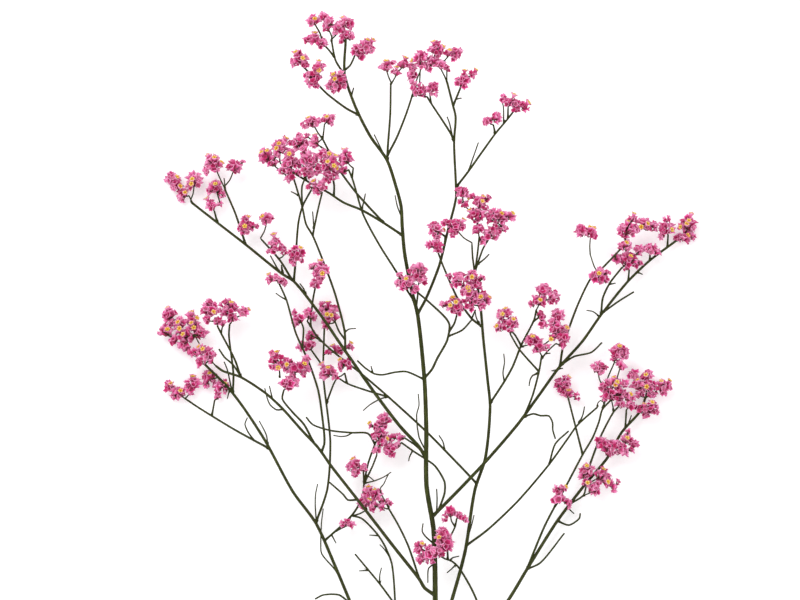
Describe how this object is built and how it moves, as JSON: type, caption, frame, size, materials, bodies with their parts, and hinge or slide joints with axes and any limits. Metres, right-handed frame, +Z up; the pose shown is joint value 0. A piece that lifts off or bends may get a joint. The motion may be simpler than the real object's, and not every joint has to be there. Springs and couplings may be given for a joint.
{
  "type": "dried statice stem",
  "caption": "Cut stem of dried statice lying flat: a thin forked stem whose branches end in bunches of small pink papery funnel heads.",
  "frame": {"origin": "On the surface that the stem lies on, under the middle of its bounding box.", "axes": "+Z up from the surface, +Y along the main stem from the cut end to the tip, +X to the right."},
  "size_m": [0.338, 0.6004, 0.0612],
  "materials": {
    "stem": "dull dry stalk",
    "calyx": "matte papery"
  },
  "bodies": {
    "root": {"branch_left_high": "stem", "branch_left_low": "stem", "branch_left_mid": "stem", "branch_right_high": "stem", "branch_right_low": "stem", "branch_right_mid": "stem", "branch_top_left": "stem", "branch_top_right": "stem", "heads_left_high_1": "calyx", "heads_left_high_2": "calyx", "heads_left_high_3": "calyx", "heads_left_high_4": "calyx", "heads_left_high_5": "calyx", "heads_left_high_6": "calyx", "heads_left_high_7": "calyx", "heads_left_high_8": "calyx", "heads_left_low_1": "calyx", "heads_left_low_2": "calyx", "heads_left_low_3": "calyx", "heads_left_low_4": "calyx", "heads_left_low_5": "calyx", "heads_left_low_6": "calyx", "heads_left_mid_1": "calyx", "heads_left_mid_2": "calyx", "heads_left_mid_3": "calyx", "heads_left_mid_4": "calyx", "heads_main_1": "calyx", "heads_main_2": "calyx", "heads_main_3": "calyx", "heads_main_4": "calyx", "heads_main_5": "calyx", "heads_main_6": "calyx", "heads_right_high_1": "calyx", "heads_right_high_2": "calyx", "heads_right_high_3": "calyx", "heads_right_high_4": "calyx", "heads_right_high_5": "calyx", "heads_right_high_6": "calyx", "heads_right_low_1": "calyx", "heads_right_low_2": "calyx", "heads_right_low_3": "calyx", "heads_right_low_4": "calyx", "heads_right_low_5": "calyx", "heads_right_low_6": "calyx", "heads_right_low_7": "calyx", "heads_right_low_8": "calyx", "heads_right_mid_1": "calyx", "heads_right_mid_2": "calyx", "heads_right_mid_3": "calyx", "heads_right_mid_4": "calyx", "heads_right_mid_5": "calyx", "heads_top_left_1": "calyx", "heads_top_left_2": "calyx", "heads_top_right_1": "calyx", "heads_top_right_2": "calyx", "heads_top_right_3": "calyx", "heads_top_right_4": "calyx", "heads_top_right_5": "calyx", "main_stem": "stem"}
  },
  "joints": []
}
